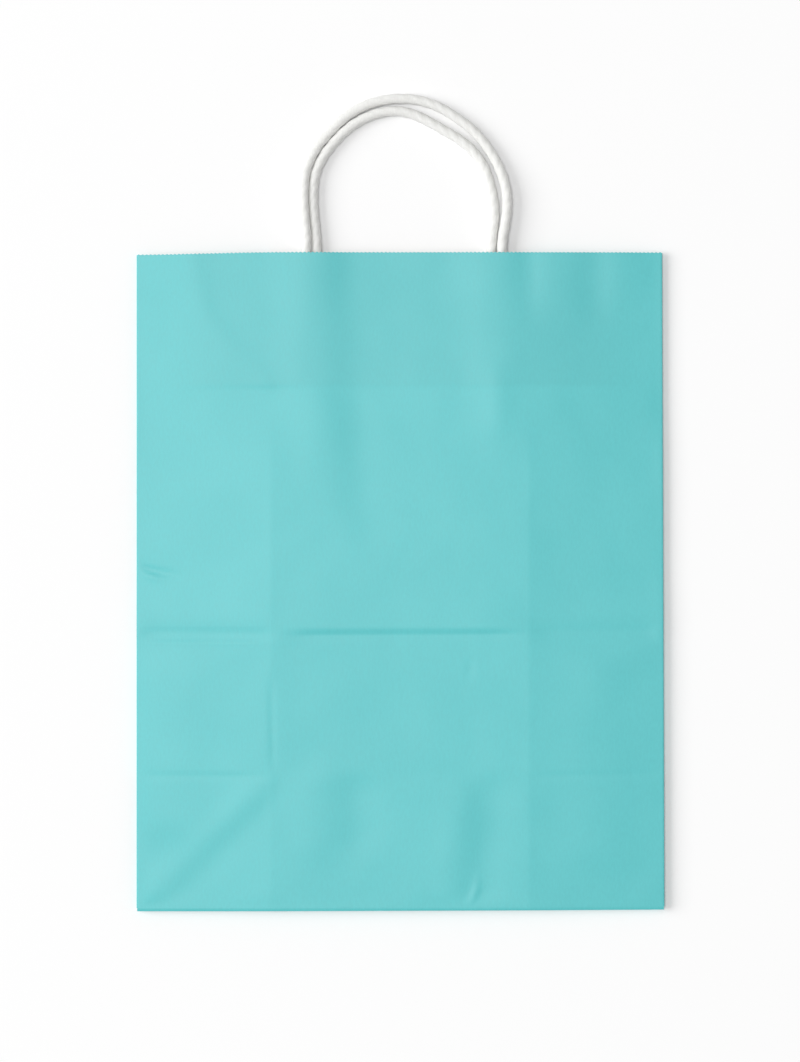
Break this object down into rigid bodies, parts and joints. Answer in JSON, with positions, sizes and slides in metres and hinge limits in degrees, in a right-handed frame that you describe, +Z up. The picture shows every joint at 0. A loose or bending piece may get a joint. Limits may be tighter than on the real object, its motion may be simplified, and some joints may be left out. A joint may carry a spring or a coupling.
{
  "type": "paper carrier bag",
  "caption": "Flat-folded gusseted paper carrier bag with a pinked mouth and twisted paper cord handles.",
  "frame": {"origin": "middle of the folded bag's footprint, without its handles, on the surface it lies on", "axes": "+Y along the bag from its bottom fold to its mouth, +X across it, +Z up through the folded leaves"},
  "size_m": [0.26, 0.4032, 0.007],
  "materials": {
    "printed_paper": "matt white kraft paper printed turquoise all over outside",
    "twisted_paper_cord": "white paper twisted into a two-ply cord",
    "patch_paper": "plain white kraft paper"
  },
  "bodies": {
    "root": {"bag_body": "printed_paper", "front_handle": "twisted_paper_cord", "rear_handle": "twisted_paper_cord", "front_patch_inner": "patch_paper", "front_patch_outer": "patch_paper", "rear_patch_inner": "patch_paper", "rear_patch_outer": "patch_paper"}
  },
  "joints": []
}
